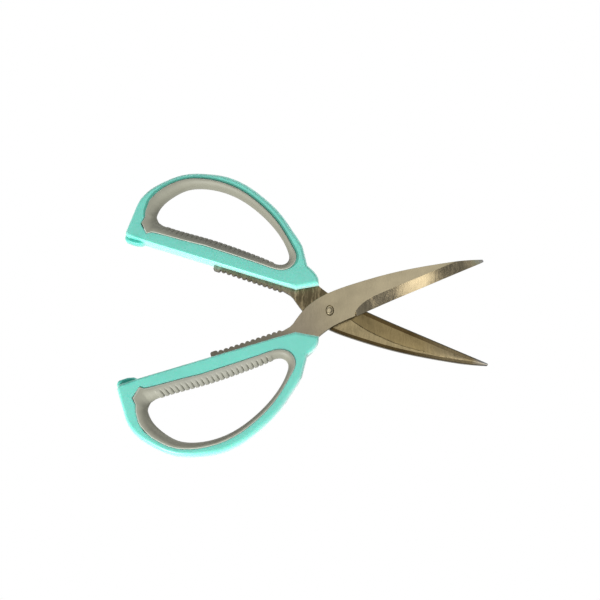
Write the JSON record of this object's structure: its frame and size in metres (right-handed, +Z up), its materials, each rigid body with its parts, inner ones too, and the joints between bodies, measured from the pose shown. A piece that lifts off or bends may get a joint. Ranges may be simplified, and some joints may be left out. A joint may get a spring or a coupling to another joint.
{
  "type": "scissors",
  "caption": "Household scissors lying half open, with curved blades, toothed tangs between the handles, D-shaped finger loops and soft ribbed grips.",
  "frame": {"origin": "middle of the bounding box, on the surface that the scissors lie on", "axes": "+X from the handles to the blade tips along the middle between the halves, +Z up, out of the flat side"},
  "size_m": [0.1886, 0.1496, 0.0108],
  "materials": {
    "steel": "satin stamped steel with a ground bevel",
    "rivet_steel": "rivet head ground flush and polished",
    "shell_plastic": "moulded mint green plastic, semi-matte",
    "grip_rubber": "soft warm grey overmoulded rubber, matte"
  },
  "bodies": {
    "front_half": {"front_blade": "steel", "front_handle": "shell_plastic", "front_grip": "grip_rubber", "pivot_rivet": "rivet_steel"},
    "rear_half": {"rear_blade": "steel", "rear_handle": "shell_plastic", "rear_grip": "grip_rubber"}
  },
  "joints": [
    {"name": "blade_pivot", "type": "hinge", "parent": "front_half", "child": "rear_half", "pos_m": [0.01349, 0, 0.0054], "axis": [0, 0, 1], "range_deg": [-52, 37.88]}
  ]
}
